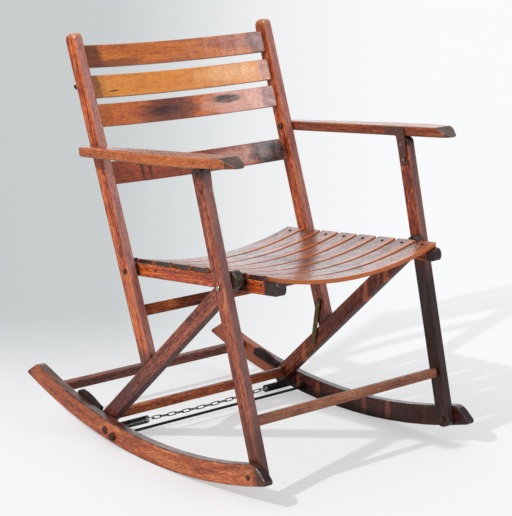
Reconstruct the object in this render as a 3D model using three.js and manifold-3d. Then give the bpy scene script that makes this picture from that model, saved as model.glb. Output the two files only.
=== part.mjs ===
// Folding rocking chair, millimetres, Z up. The chair faces -Y and X runs across it.
// The origin is on the floor, at the middle of the chair's footprint.
// Side outlines are drawn as (forward, height) and become (-Y, Z); the left side is +X.
import * as THREE from 'three';
import { mergeVertices } from 'three/addons/utils/BufferGeometryUtils.js';
import Module from 'manifold-3d';

const wasm = await Module();
wasm.setup();

// ---- sizes ----
const board = 20; // thickness of every side board
const gap = 0.3; // clearance between two pieces that touch
const softEdge = 1.8; // rounding of the boards' long edges
const slatEdge = 1.0; // rounding of the slats' edges
const metalEdge = 0.4; // rounding of the plates' edges

// rockers
const rockerOuter = 284.1; // outer face, measured at the foot bolt
const rockerDepth = 42.5;
const rockerRadius = 1258;
const rockerLow = 39; // the rockers touch the floor here, below the chair's centre of mass
const rockerTail = { beyond: 121, slant: 31, round: 4, topRound: 20 }; // behind the rear stretcher
const rockerNose = { beyond: 57.7, slant: 27, round: 6, topRound: 32 }; // past the foot bolt
const toeIn = 0.0185; // radians, the rockers close up towards the rear
const legRoom = 1.6; // the leaning leg clears the rocker by this much at the foot bolt
const legLean = 0.0345; // radians, the legs open out towards the arms

// side frame
const foot = { f: 347.3, h: 56 }; // rocker to leg bolt
const legWidth = 32;
const legEnd = 16; // leg runs this far below the foot bolt
const legRound = 13;
const kneeHeight = 400; // leg, brace and seat rail pivot
const kneeInset = 3.784; // the pivot lies this far behind the leg's middle line
const braceWidth = 32.5;
const braceInset = 3; // the brace's middle line runs this far above the knee pivot
const braceFoot = { f: -160, h: 26.8 };
const braceBeyond = 34; // past the knee pivot
const braceRound = 13;
const hipPivot = { f: -64.7, drop: 27.5 }; // back post to seat rail, below the knee pivot
const postWidth = 33;
const postInset = 3; // the post's middle line runs this far behind the hip pivot
const postWithin = 28.1; // from the rocker's outer face in to the post's, at the hip pivot
const postRake = 0.3403; // radians, the back post leans back
const postLean = 0.016; // radians, the back posts open out towards the top
const postBeyond = 241.869; // past the arm pivot's height
const postDome = 12;
const elbowRise = 0.3; // the arm to back post pivot lies this far above the wrist pivot
const elbowInset = 0.285; // the pivot lies this far behind the post's middle line
const wristPivot = { f: 199.7, rise: 208.4 }; // arm to leg, above the knee pivot

// cross pieces of the base
const rearBar = { f: -297, h: 77, depth: 21, width: 17 };
const footBar = { f: -135, h: 51, depth: 22, width: 12 };
const frontBar = { h: 150, inset: 3.183, depth: 19.6, width: 20 }; // inset behind the leg's middle line
const barRound = 4;
const lowBar = { drop: 79.5, ahead: 2.534, depth: 23, width: 12 }; // below the hip, ahead of the post's line
const cleatRear = 257;
const cleatFront = 175;
const cleatThick = 12;
const cleatDepth = 22;
const cleatRise = 10;
// along the cleat, and of its rise
const cleatTopShares = [[0, 0.3], [0.08, 0.8], [0.3, 1], [0.55, 0.8], [0.8, 0.3], [1, 0]];

// tie rod, springs and chain
const tieRod = { f: -89.4, h: 22 };
const rodRadius = 3;
const rodNutRadius = 8.5;
const rodNutLength = 6;
const anchor = { f: -117.8, h: 28.5 };
const eyeWire = 1.6;
const eyeRadius = 4.6;
const eyeCentre = 249.3;
const hookRadius = 4.2;
const springWire = 1;
const springRadius = 7.8;
const springPitch = 3;
const springCurls = 24;
const loopRadius = 6.2;
const linkWire = 1.1;
const linkRadius = 3.3;
const linkStraight = 13.4;
const linkBite = 0.25; // neighbouring links are fused by this much where they pull on each other
const linkCount = 15;
const chainSag = 4;

// seat
const railRoom = 7.1727; // between the brace and the seat rail, for the post's washers
const railDepth = 27;
const railBehind = 51.3; // behind the hip pivot
const railBeyond = { left: 100, right: 117 }; // past the knee pivot, as cut by hand
const railRound = 11;
const seatSlats = 8;
const seatSlatWidth = 50;
const seatSlatThick = 8.5;
const seatSlatPitch = 57.1;
const seatSlatFirst = -87; // middle of the rear slat, measured along the rail from below the origin
const seatSag = 31.5;
const seatCross = [-3.4, 216];
const seatCrossDepth = 9;
const seatCrossWidth = 24;

// back
const backSlatRises = [181.4, 121.5, 65.2, -47.3]; // above the arm to back post pivot
const backSlatWidth = 46.7;
const backSlatThick = 8;
const backSlatFront = 4; // front face of a slat's ends, ahead of the post's middle line
const backBow = 20;
const hookRaise = 126.3; // above the arm to back post pivot
const hookReach = 17;
const hookWire = 2.4;
const hookRise = 9;

// arms
const armTilt = 0.0795535; // radians, the arm rises from the line through its two pivots
const armThick = 20.5;
const armEdge = 4;
const armBehind = 17.2; // behind the elbow pivot
const armLength = 497;
const armInner = 260.2;
const armWidth = 62.6;
const armSlant = 34; // the front end leans back by this much over the arm's thickness
// the arm seen from above, as shares of its length from the rear and of its width from the inner edge
const armPlanShares = [
  [0.008, 0.06], [0, 0.2], [0, 0.4], [0.012, 0.52], [0.05, 0.58], [0.2, 0.66], [0.38, 0.82], [0.56, 0.98],
  [0.7, 1], [0.82, 0.95], [0.9, 0.84], [0.955, 0.68], [0.988, 0.5], [1, 0.34], [0.995, 0.17], [0.975, 0.05],
  [0.94, 0], [0.03, 0],
];

// metal plates and straps
const plateThick = 3;
const plateGap = 0.5;
const plateBehind = 46; // along the arm from above the wrist pivot
const plateAhead = 8;
const plateWidth = 18;
const plateRound = { large: 5, middle: 4, small: 3, fine: 2 };
const plateLimb = 20;
const plateDrop = 41;
const plateScrews = [36, 12]; // behind the wrist pivot
const stopDrop = 32; // stop screw below the wrist pivot, along the leg
const notchHalf = 3.2;
const notchFlare = 2.4;
const strapThick = 3;
const strapWidth = 12;
const latchPivot = { along: 174.81, above: 1.049 }; // from the brace's foot, and above its pivots' line
const latchPin = { drop: 135.5, ahead: 2.405 }; // below the hip, ahead of the back post's middle line

// fasteners
const boltRadius = 3.5;
const boltFit = 0.4;
const leanFit = 0.9; // more room where a bolt crosses a leaning or toed-in board
const elbowFit = 1.9; // the elbow pivot closes a linkage whose ratios are rounded
const headRadius = 8.5;
const headHeight = 3.2;
const rivetRadius = 5;
const rivetHeight = 1.5;
const nutRadius = 6.5;
const nutHeight = 3.5;
const collarRadius = 9;
const screwRadius = 2.2;
const screwHead = 4.4;
const screwDome = 1.8;

const originAhead = 7.1; // the middle of the footprint lies this far behind the drawings' zero

// shares and counts, no lengths
const half = 0.5;
const rockerStep = 0.0436; // radians between corners of the rocker's circle
const rockerSteps = 12;
const cornerSteps = 3;
const roundSteps = 10;
const wireSides = 5;
const curlSteps = 8;
const strapRoundShare = 0.9;
const bowSteps = 5.7; // chords from the middle of a bow to its end
const crownSteps = 6;
const crownSharp = Array(crownSteps + 1).fill(0);

const colours = {
  rocker: 0x9a4a28, leg: 0x8c3f24, brace: 0x934528, post: 0xa04c28, stretcher: 0x9c5530, darkwood: 0x4a2b20,
  rail: 0x84402a, seat: 0xa3684a, slat: 0xb9672f, arm: 0x94502f, iron: 0x23201f, steel: 0x6e655a, brass: 0x7a6a50,
};

const group = new THREE.Group();
group.name = 'folding_rocking_chair';

function add(name, geometry, colour, metalness = 0) {
  const material = new THREE.MeshStandardMaterial({ color: colours[colour], roughness: half, metalness });
  const mesh = new THREE.Mesh(geometry, material);
  mesh.name = name;
  group.add(mesh);
  return mesh;
}

// ---- plane helpers ----
const point = (f, h) => new THREE.Vector2(f, h);
const at = (p) => point(p.f, p.h);
const placed = (p) => ({ f: p.x, h: p.y });
const along = (start, direction, distance) => start.clone().addScaledVector(direction, distance);
const heading = (from, to) => to.clone().sub(from).normalize();
const square = (direction) => point(-direction.y, direction.x);

function cross(p, u, q, v) {
  const denominator = u.x * v.y - u.y * v.x;
  const t = ((q.x - p.x) * v.y - (q.y - p.y) * v.x) / denominator;
  return along(p, u, t);
}

// replaces each corner of a closed outline by a short arc of its own radius
function rounded(corners, radii, steps = cornerSteps) {
  const out = [];
  corners.forEach((corner, i) => {
    const radius = Array.isArray(radii) ? radii[i] : radii;
    const before = corners[(i + corners.length - 1) % corners.length];
    const after = corners[(i + 1) % corners.length];
    if (!radius) {
      out.push(corner);
      return;
    }
    const u = heading(corner, before);
    const v = heading(corner, after);
    const turn = Math.acos(THREE.MathUtils.clamp(u.dot(v), -1, 1));
    const reach = radius / Math.tan(turn * half);
    const centre = along(corner, u.clone().add(v).normalize(), radius / Math.sin(turn * half));
    const start = along(corner, u, reach).sub(centre);
    const sweep = Math.PI - turn;
    const side = Math.sign(u.x * v.y - u.y * v.x);
    for (let k = 0; k <= steps; k += 1) {
      const a = -side * sweep * (k / steps);
      out.push(start.clone().rotateAround(point(0, 0), a).add(centre));
    }
  });
  return out;
}

// a straight bar's outline between two points, with a corner radius at each end
function strip(from, to, width, startRound, endRound) {
  const u = heading(from, to);
  const n = square(u).multiplyScalar(width * half);
  const corners = [from.clone().add(n), from.clone().sub(n), to.clone().sub(n), to.clone().add(n)];
  return rounded(corners, [startRound, startRound, endRound, endRound]);
}

function hole(p, radius) {
  const path = new THREE.Path();
  path.absarc(p.x, p.y, radius, 0, Math.PI * 2, true);
  return path;
}

// a board drawn in its own plane, thickness along the third direction, edges rounded
function plank(outline, thickness, edge, holes = [], edgeSteps = 1) {
  const shape = new THREE.Shape(THREE.ShapeUtils.isClockWise(outline) ? outline.toReversed() : outline);
  shape.holes.push(...holes);
  const geometry = new THREE.ExtrudeGeometry(shape, {
    depth: thickness - 2 * edge,
    bevelThickness: edge,
    bevelSize: edge,
    bevelOffset: -edge,
    bevelSegments: edgeSteps,
    curveSegments: 5,
  });
  return geometry.translate(0, 0, edge);
}

// side outlines: drawn (forward, height), put with the outer face at x = outer
function sideways(geometry, outer) {
  const m = new THREE.Matrix4().set(0, 0, -1, outer, -1, 0, 0, 0, 0, 1, 0, 0, 0, 0, 0, 1);
  return geometry.applyMatrix4(m);
}

function mirrored(geometry) {
  const flat = geometry.index ? geometry.toNonIndexed() : geometry.clone();
  flat.scale(-1, 1, 1);
  const p = flat.attributes.position;
  for (let i = 0; i < p.count; i += 3) {
    for (const axis of ['X', 'Y', 'Z']) {
      const held = p[`get${axis}`](i + 1);
      p[`set${axis}`](i + 1, p[`get${axis}`](i + 2));
      p[`set${axis}`](i + 2, held);
    }
  }
  flat.computeVertexNormals();
  return flat;
}

function pair(name, geometry, colour, metalness) {
  add(`${name}_left`, geometry, colour, metalness);
  add(`${name}_right`, mirrored(geometry), colour, metalness);
}

// turns a geometry about a line through (x, forward, height)
function turned(geometry, x, p, axis, angle) {
  geometry.translate(-x, p.f, -p.h);
  geometry[`rotate${axis}`](angle);
  return geometry.translate(x, -p.f, p.h);
}

// ---- solid helpers ----
function toManifold(geometry) {
  const bare = geometry.clone();
  bare.deleteAttribute('normal');
  bare.deleteAttribute('uv');
  const merged = mergeVertices(bare, gap / 1000);
  const mesh = new wasm.Mesh({
    numProp: 3,
    vertProperties: new Float32Array(merged.attributes.position.array),
    triVerts: new Uint32Array(merged.index.array),
  });
  return new wasm.Manifold(mesh);
}

function fromManifold(solid) {
  const mesh = solid.getMesh();
  const geometry = new THREE.BufferGeometry();
  geometry.setAttribute('position', new THREE.BufferAttribute(new Float32Array(mesh.vertProperties), 3));
  geometry.setIndex(new THREE.BufferAttribute(new Uint32Array(mesh.triVerts), 1));
  const flat = geometry.toNonIndexed();
  flat.computeVertexNormals();
  return flat;
}

const joined = (...geometries) => fromManifold(
  geometries.map(toManifold).reduce((total, next) => total.add(next)),
);
const cutBy = (geometry, tool) => fromManifold(toManifold(geometry).subtract(toManifold(tool)));
const shared = (a, b) => fromManifold(toManifold(a).intersect(toManifold(b)));

// a turned piece: profile is [distance along X, radius] pairs from one end to the other
function turnedPiece(profile, p, steps = roundSteps) {
  const points = profile.map(([x, radius]) => new THREE.Vector2(radius, x));
  points.unshift(new THREE.Vector2(0, points[0].y));
  points.push(new THREE.Vector2(0, points[points.length - 1].y));
  const geometry = new THREE.LatheGeometry(points, steps);
  // lathe axis Y becomes X
  const m = new THREE.Matrix4().set(0, 1, 0, 0, 1, 0, 0, -p.f, 0, 0, -1, p.h, 0, 0, 0, 1);
  return geometry.applyMatrix4(m);
}

// a round wire along points, closed into a ring or capped at both ends
function wire(points, radius, ring = false, sides = wireSides) {
  const count = points.length;
  const tangents = points.map((p, i) => {
    const a = ring ? points[(i + count - 1) % count] : points[Math.max(i - 1, 0)];
    const b = ring ? points[(i + 1) % count] : points[Math.min(i + 1, count - 1)];
    return b.clone().sub(a).normalize();
  });
  const normal = new THREE.Vector3(0, 0, 1);
  if (Math.abs(tangents[0].z) > 0.9) normal.set(0, 1, 0);
  normal.addScaledVector(tangents[0], -normal.dot(tangents[0])).normalize();
  const normals = [];
  tangents.forEach((t) => {
    normal.addScaledVector(t, -normal.dot(t)).normalize();
    normals.push(normal.clone());
  });
  const twist = ring ? ringTwist(normals, tangents) : 0;
  const corners = points.map((p, i) => {
    const n = normals[i];
    const b = tangents[i].clone().cross(n);
    return Array.from({ length: sides }, (_, k) => {
      const a = (2 * Math.PI * k) / sides + twist * (i / count);
      return p.clone().addScaledVector(n, radius * Math.cos(a)).addScaledVector(b, radius * Math.sin(a));
    });
  });
  const positions = [];
  const face = (a, b, c) => positions.push(...a.toArray(), ...b.toArray(), ...c.toArray());
  const last = ring ? count : count - 1;
  for (let i = 0; i < last; i += 1) {
    const a = corners[i];
    const b = corners[(i + 1) % count];
    for (let k = 0; k < sides; k += 1) {
      const next = (k + 1) % sides;
      face(a[k], a[next], b[next]);
      face(a[k], b[next], b[k]);
    }
  }
  if (!ring) {
    for (let k = 1; k < sides - 1; k += 1) {
      face(corners[0][0], corners[0][k + 1], corners[0][k]);
      face(corners[count - 1][0], corners[count - 1][k], corners[count - 1][k + 1]);
    }
  }
  const geometry = new THREE.BufferGeometry();
  geometry.setAttribute('position', new THREE.Float32BufferAttribute(positions, 3));
  geometry.computeVertexNormals();
  return geometry;
}

// the angle left over when the frame is carried once round a ring
function ringTwist(normals, tangents) {
  const n = normals[normals.length - 1].clone();
  const t = tangents[0];
  n.addScaledVector(t, -n.dot(t)).normalize();
  const b = t.clone().cross(normals[0]);
  return -Math.atan2(n.dot(b), n.dot(normals[0]));
}

// least distance between two stretches of one wire that aren't neighbours
function selfGap(points, radius, reach) {
  let least = Infinity;
  const run = [0];
  points.forEach((p, i) => {
    if (i) run.push(run[i - 1] + p.distanceTo(points[i - 1]));
  });
  for (let i = 0; i < points.length; i += 1) {
    for (let j = i + 1; j < points.length; j += 1) {
      if (run[j] - run[i] > reach) least = Math.min(least, points[i].distanceTo(points[j]));
    }
  }
  return least - 2 * radius;
}

// ---- derived places ----
const wrist = { f: wristPivot.f, h: kneeHeight + wristPivot.rise };
const wristAt = at(wrist);
const footAt = at(foot);
const legUp = heading(footAt, wristAt);
const onLegAt = (height) => along(footAt, legUp, (height - foot.h) / legUp.y);
const knee = { f: onLegAt(kneeHeight).x - kneeInset, h: kneeHeight };
const hip = { f: hipPivot.f, h: knee.h - hipPivot.drop };
const frontBarAt = { ...frontBar, f: onLegAt(frontBar.h).x - frontBar.inset };
const braceUp = heading(at(braceFoot), at(knee));
const braceSide = square(braceUp).multiplyScalar(braceInset);
const postUp = point(-Math.sin(postRake), Math.cos(postRake));
const postFoot = along(at(hip), square(postUp), postInset);
const postAt = (height) => along(postFoot, postUp, (height - postFoot.y) / postUp.y);
const elbow = { f: postAt(wrist.h + elbowRise).x - elbowInset, h: wrist.h + elbowRise };
const lowBarHeight = hip.h - lowBar.drop;
const lowBarAt = { ...lowBar, f: postAt(lowBarHeight).x + lowBar.ahead, h: lowBarHeight };
const latchFoot = along(at(braceFoot), braceUp, latchPivot.along);
const latchLow = placed(along(latchFoot, square(braceUp), latchPivot.above));
const latchHeight = hip.h - latchPin.drop;
const latchHigh = { f: postAt(latchHeight).x + latchPin.ahead, h: latchHeight };
const railAhead = heading(at(hip), at(knee));
const armAhead = heading(at(elbow), wristAt).rotateAround(point(0, 0), armTilt);
const legOuter = rockerOuter - board - legRoom;
const legMiddle = legOuter - board * half;
const leanAt = (height) => Math.tan(legLean) * (height - foot.h);
const sideOuter = legOuter - board + leanAt(knee.h) - gap - softEdge * half; // outer face of the brace
const sideInner = sideOuter - board;
const postOuter = rockerOuter - postWithin;
const railOuter = sideInner - railRoom;
const railInner = railOuter - board;
const rockerMiddle = rockerOuter - board * half;
const toeAt = (forward) => Math.tan(toeIn) * (forward - foot.f);
const rockerInnerAt = (forward) => rockerOuter - board + toeAt(forward);
const postOuterAt = (height) => postOuter + Math.tan(postLean) * (height - hip.h);
const postInnerAt = (height) => postOuterAt(height) - board;

// ---- rockers ----
// the rocker's circle is drawn in chords, and the one below the centre of mass lies on the floor
const rockerCentre = point(rockerLow, rockerRadius * Math.cos(rockerStep * half));

function rockerAngles(from, to) {
  const ends = [from, to].map((forward) => Math.asin((forward - rockerLow) / rockerRadius));
  const corners = [];
  for (let k = -rockerSteps; k < rockerSteps; k += 1) corners.push((k + half) * rockerStep);
  const clear = rockerStep * half;
  return [ends[0], ...corners.filter((angle) => angle > ends[0] + clear && angle < ends[1] - clear), ends[1]];
}

// the circle's corners between two places along the floor, moved towards its centre by lift
function rockerArc(from, to, lift) {
  const reach = rockerRadius - lift;
  return rockerAngles(from, to).map((angle) => (
    point(rockerCentre.x + reach * Math.sin(angle), rockerCentre.y - reach * Math.cos(angle))
  ));
}

function rockerGeometry() {
  const tail = rearBar.f - rockerTail.beyond;
  const nose = foot.f + rockerNose.beyond;
  const low = rockerArc(tail, nose, 0);
  const top = rockerArc(tail + rockerTail.slant, nose - rockerNose.slant, rockerDepth).toReversed();
  const rounds = [
    rockerTail.round, ...Array(low.length - 2).fill(0), rockerNose.round,
    rockerNose.topRound, ...Array(top.length - 2).fill(0), rockerTail.topRound,
  ];
  const outline = rounded([...low, ...top], rounds);
  const holes = [
    hole(footAt, boltRadius + leanFit),
    hole(at(tieRod), rodRadius + leanFit),
    hole(at(anchor), boltRadius + leanFit),
  ];
  const geometry = sideways(plank(outline, board, softEdge, holes), rockerOuter);
  return turned(geometry, rockerMiddle, foot, 'Z', toeIn);
}
pair('rocker', rockerGeometry(), 'rocker');

function cleatGeometry() {
  const top = cleatTopShares.map(([share, rise]) => {
    const forward = THREE.MathUtils.lerp(-cleatRear, -cleatFront, share);
    return rockerArc(forward, forward, rockerDepth + cleatRise * rise)[0];
  });
  const low = rockerArc(-cleatRear, -cleatFront, rockerDepth - cleatDepth * half).toReversed();
  const outer = rockerOuter - board - gap;
  const geometry = sideways(plank([...top, ...low], cleatThick, slatEdge, [], 1), outer);
  return turned(geometry, rockerMiddle, foot, 'Z', toeIn);
}
pair('foot_cleat', cleatGeometry(), 'darkwood');

// ---- front legs ----
function legGeometry() {
  const side = square(legUp).multiplyScalar(legWidth * half);
  const low = along(footAt, legUp, -legEnd);
  const crown = legCrown();
  const spread = Math.asin((legWidth * half) / crown);
  const corners = [low.clone().sub(side), low.clone().add(side)];
  const outline = rounded([...corners, ...crownArc(crown, spread)], [legRound, legRound, ...crownSharp]);
  const holes = [
    hole(footAt, boltRadius + leanFit),
    hole(at(knee), boltRadius + leanFit),
    hole(wristAt, screwRadius + leanFit),
    hole(along(wristAt, legUp, -stopDrop), screwRadius + leanFit),
  ];
  const geometry = sideways(plank(outline, board, softEdge, holes), legOuter);
  return turned(geometry, legMiddle, foot, 'Y', legLean);
}

// the leg's top is an arc about the wrist pivot, so that the arm can turn over it
function legCrown() {
  const under = along(at(elbow), armAhead, 0).addScaledVector(square(armAhead), -armThick * half);
  const offset = wristAt.clone().sub(under).dot(square(armAhead));
  return -offset - gap;
}

function crownArc(radius, spread) {
  const out = [];
  for (let k = 0; k <= crownSteps; k += 1) {
    const a = THREE.MathUtils.lerp(spread, -spread, k / crownSteps);
    out.push(along(wristAt, legUp.clone().rotateAround(point(0, 0), a), radius));
  }
  return out;
}
pair('front_leg', legGeometry(), 'leg');

// ---- braces ----
const braceLow = at(braceFoot).add(braceSide);
const braceHigh = along(at(knee), braceUp, braceBeyond).add(braceSide);
const braceOutline = strip(braceLow, braceHigh, braceWidth, barRound, braceRound);
const braceHoles = [
  hole(at(knee), boltRadius + boltFit),
  hole(at(latchLow), screwRadius + boltFit),
];
pair('brace', sideways(plank(braceOutline, board, softEdge, braceHoles), sideOuter), 'brace');

// ---- cross bars of the base: a rounded section drawn square to X ----
function crossBar(bar, direction, halfLength, round = barRound) {
  const start = along(at(bar), direction, -bar.depth * half);
  const end = along(at(bar), direction, bar.depth * half);
  const outline = strip(start, end, bar.width, round, round);
  return sideways(plank(outline, 2 * halfLength, slatEdge, [], 1), halfLength);
}
const rearUp = heading(at(rearBar), rockerCentre);
add('rear_stretcher', crossBar(rearBar, rearUp, rockerInnerAt(rearBar.f - rearBar.width) - gap), 'stretcher');
add('foot_stretcher', crossBar(footBar, point(0, 1), sideInner - gap), 'stretcher');
const frontHalf = legOuter - board + leanAt(frontBar.h - frontBar.depth) - gap;
add('front_stretcher', crossBar(frontBarAt, legUp, frontHalf), 'stretcher');

// ---- seat ----
const railStart = along(at(hip), railAhead, -railBehind);
const railHoles = [hole(at(knee), boltRadius + boltFit), hole(at(hip), boltRadius + boltFit)];

// a bow across the chair: a circle through the ends, with the middle lower by sag
function bow(halfSpan, sag) {
  const radius = (halfSpan * halfSpan + sag * sag) / (2 * sag);
  return { radius, lift: radius - sag, step: Math.asin(halfSpan / radius) / bowSteps };
}

// the bow's chords moved down by drop and cut off at x = +-limit; concentric chords stay parallel
function bowCurve(shape, drop, limit) {
  const radius = shape.radius + drop;
  const chord = (k) => (
    point(radius * Math.sin(k * shape.step), shape.lift - radius * Math.cos(k * shape.step))
  );
  const side = [];
  let k = 1;
  for (; chord(k).x < limit; k += 1) side.push(chord(k));
  const [inside, outside] = [chord(k - 1), chord(k)];
  side.push(inside.clone().lerp(outside, (limit - inside.x) / (outside.x - inside.x)));
  return [...side.toReversed().map((p) => point(-p.x, p.y)), chord(0), ...side];
}

const bowedOutline = (shape, top, bottom, limit) => (
  [...bowCurve(shape, bottom, limit), ...bowCurve(shape, top, limit).toReversed()]
);

// puts a bowed strip with its width along a side direction and its bow square to it
function bowedStrip(outline, middle, direction, width, edge) {
  const geometry = plank(outline, width, edge);
  geometry.translate(0, 0, -width * half);
  const up = square(direction);
  const m = new THREE.Matrix4().set(
    1, 0, 0, 0,
    0, -up.x, -direction.x, -middle.x,
    0, up.y, direction.y, middle.y,
    0, 0, 0, 1,
  );
  return upright(geometry.applyMatrix4(m));
}

// turns a geometry's faces round when its transform has mirrored it
function upright(geometry) {
  const flat = geometry.index ? geometry.toNonIndexed() : geometry;
  const p = flat.attributes.position;
  let volume = 0;
  const [a, b, c] = [new THREE.Vector3(), new THREE.Vector3(), new THREE.Vector3()];
  for (let i = 0; i < p.count; i += 3) {
    a.fromBufferAttribute(p, i);
    b.fromBufferAttribute(p, i + 1);
    c.fromBufferAttribute(p, i + 2);
    volume += a.dot(b.cross(c));
  }
  return volume < 0 ? mirrored(flat).scale(-1, 1, 1) : flat;
}

const railTop = square(railAhead).multiplyScalar(railDepth * half);
const seatBow = bow(railOuter, seatSag);
// where the rail passes above the origin
const railFloor = cross(at(hip), railAhead, point(0, 0), point(0, 1));

// the rails' tops are cut to the slats' bow
function railGeometry(beyond) {
  const railEnd = along(at(knee), railAhead, beyond);
  const outline = strip(railStart, railEnd, railDepth, barRound, railRound);
  const rail = sideways(plank(outline, board, softEdge, railHoles), railOuter);
  const wide = railOuter + board;
  const hollow = [...bowCurve(seatBow, 0, wide), point(wide, 2 * railDepth), point(-wide, 2 * railDepth)];
  const middle = at(hip).lerp(at(knee), half).add(railTop);
  const above = bowedStrip(hollow, middle, railAhead, 2 * railStart.distanceTo(railEnd), slatEdge);
  return cutBy(rail, above);
}
add('seat_rail_left', railGeometry(railBeyond.left), 'rail');
add('seat_rail_right', mirrored(railGeometry(railBeyond.right)), 'rail');

for (let i = 0; i < seatSlats; i += 1) {
  const middle = along(railFloor, railAhead, seatSlatFirst + i * seatSlatPitch).add(railTop);
  const outline = bowedOutline(seatBow, -gap - seatSlatThick, -gap, railOuter);
  const slat = bowedStrip(outline, middle, railAhead, seatSlatWidth, slatEdge);
  add(`seat_slat_${i + 1}`, slat, 'seat');
}

seatCross.forEach((place, i) => {
  const middle = along(railFloor, railAhead, place).add(railTop);
  const outline = bowedOutline(seatBow, 0, seatCrossDepth, railInner - gap);
  add(`seat_cross_${i + 1}`, bowedStrip(outline, middle, railAhead, seatCrossWidth, slatEdge), 'rail');
});

// ---- back ----
function postGeometry() {
  const top = along(postAt(elbow.h), postUp, postBeyond);
  const side = square(postUp).multiplyScalar(postWidth * half);
  const rest = along(braceLow, square(braceUp), braceWidth * half + gap);
  const rearLow = cross(postFoot.clone().add(side), postUp, rest, braceUp);
  const frontLow = cross(postFoot.clone().sub(side), postUp, rest, braceUp);
  const corners = [rearLow, frontLow, top.clone().sub(side), top.clone().add(side)];
  const outline = rounded(corners, [0, 0, postDome, postDome]);
  const holes = [
    hole(at(hip), boltRadius + leanFit),
    hole(at(elbow), boltRadius + elbowFit),
    hole(at(latchHigh), screwRadius + boltFit),
  ];
  const post = sideways(plank(outline, board, softEdge, holes), postOuter);
  return turned(post, postOuter - board * half, hip, 'Y', postLean);
}
pair('back_post', postGeometry(), 'post');

backSlatRises.forEach((rise, i) => {
  const height = elbow.h + rise;
  const front = postAt(height).addScaledVector(square(postUp), -backSlatFront);
  const reach = postInnerAt(height - backSlatWidth * half) - gap;
  const outline = bowedOutline(bow(reach, backBow), 0, backSlatThick, reach);
  const slat = bowedStrip(outline, front, postUp.clone().negate(), backSlatWidth, slatEdge);
  add(`back_slat_${i + 1}`, slat, 'slat');
});
const lowReach = postInnerAt(lowBarAt.h - lowBar.depth * half) - gap;
add('back_stretcher', crossBar(lowBarAt, postUp, lowReach, barRound * half), 'stretcher');

function hookGeometry() {
  const base = postAt(elbow.h + hookRaise).addScaledVector(square(postUp), postWidth * half + gap);
  const away = square(postUp);
  const path = [
    along(base, away, 0),
    along(base, away, hookReach * half),
    along(along(base, away, hookReach * 0.85), postUp, hookRise * 0.15),
    along(along(base, away, hookReach), postUp, hookRise * half),
    along(along(base, away, hookReach), postUp, hookRise),
  ];
  const x = board * half - postOuterAt(elbow.h + hookRaise);
  return wire(path.map((p) => new THREE.Vector3(x, -p.x, p.y)), hookWire, false, 8);
}
add('post_hook', hookGeometry(), 'iron', 1);

// ---- arms ----
function armGeometry() {
  const rear = elbow.f - armBehind;
  const plan = armPlanShares.map(([lengthShare, widthShare]) => (
    point(rear + armLength * lengthShare, armInner + armWidth * widthShare)
  ));
  const flat = plank(plan, armThick, armEdge, [], 3);
  // plan is drawn (forward, X): lay it on the arm's underside, then pitch it about the elbow
  flat.applyMatrix4(new THREE.Matrix4().set(0, 1, 0, 0, -1, 0, 0, 0, 0, 0, 1, 0, 0, 0, 0, 1));
  flat.translate(0, elbow.f, -armThick * half);
  flat.rotateX(-armAhead.angle());
  flat.translate(0, -elbow.f, elbow.h);
  const under = along(at(elbow), square(armAhead), -armThick);
  const over = along(at(elbow), square(armAhead), armThick);
  const tip = armLength - armBehind;
  const back = armBehind + armThick;
  const keep = [
    along(under, armAhead, -back), along(under, armAhead, tip + armSlant * half),
    along(over, armAhead, tip - armSlant * 1.5), along(over, armAhead, -back),
  ];
  const profile = sideways(plank(keep, 2 * armInner, metalEdge, [], 1), 2 * armInner - armThick);
  const bored = cutBy(shared(flat, profile), studHole());
  return bored;
}

function studHole() {
  const deep = armInner + board;
  return turnedPiece([[armInner - board, boltRadius + gap], [deep, boltRadius + gap]], elbow);
}
pair('arm', armGeometry(), 'arm');

// ---- bolts: heads outside, nuts inside ----
const headSide = (x, height, radius) => [
  [x + height, radius * 0.55], [x + height * 0.7, radius * 0.85], [x + metalEdge, radius], [x, radius],
];
const nutSide = (x) => [
  [x - nutHeight, nutRadius * 0.9], [x - nutHeight + metalEdge, nutRadius], [x, nutRadius],
];

function bolt(p, outer, inner, collars = []) {
  const profile = [...nutSide(inner - gap)];
  profile.push([inner - gap, boltRadius]);
  collars.forEach(([from, to]) => {
    profile.push([from, boltRadius], [from, collarRadius], [to, collarRadius], [to, boltRadius]);
  });
  profile.push([outer + gap, boltRadius], ...headSide(outer + gap, rivetHeight, rivetRadius).reverse());
  return turnedPiece(profile, p);
}
const leanGap = softEdge * half; // a washer or head beside a leaning board keeps this much more clear
const legOutAt = (height) => legOuter + leanAt(height) + leanGap;
const legInAt = (height) => legOuter - board + leanAt(height) - leanGap;
pair('foot_bolt', bolt(foot, rockerOuter, legInAt(foot.h - nutRadius)), 'iron', 1);
const kneeCollar = [railOuter + gap, sideInner - gap];
pair('knee_bolt', bolt(knee, legOutAt(knee.h + rivetRadius), railInner, [kneeCollar]), 'iron', 1);
const hipInner = postInnerAt(hip.h) - leanGap;
pair('hip_bolt', bolt(hip, postOuter + leanGap, railInner, [[railOuter + gap, hipInner]]), 'iron', 1);

function elbowStud() {
  const inner = postInnerAt(elbow.h) - gap - boltFit;
  const profile = [...nutSide(inner), [inner, boltRadius]];
  profile.push([armInner + board - gap, boltRadius]);
  return turnedPiece(profile, elbow);
}
pair('elbow_stud', elbowStud(), 'iron', 1);

const screwTop = (x) => [
  [x - screwDome, screwHead * 0.4], [x - screwDome * 0.7, screwHead * 0.8],
  [x - metalEdge, screwHead], [x, screwHead],
];

function screw(p, face, depth) {
  return turnedPiece([...screwTop(face), [face, screwRadius], [face + depth, screwRadius]], p);
}

// ---- arm plates: fixed to the arm, turning on the wrist screw, stopped by the screw below it ----
const plateFace = armInner - plateGap - plateThick;

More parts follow.
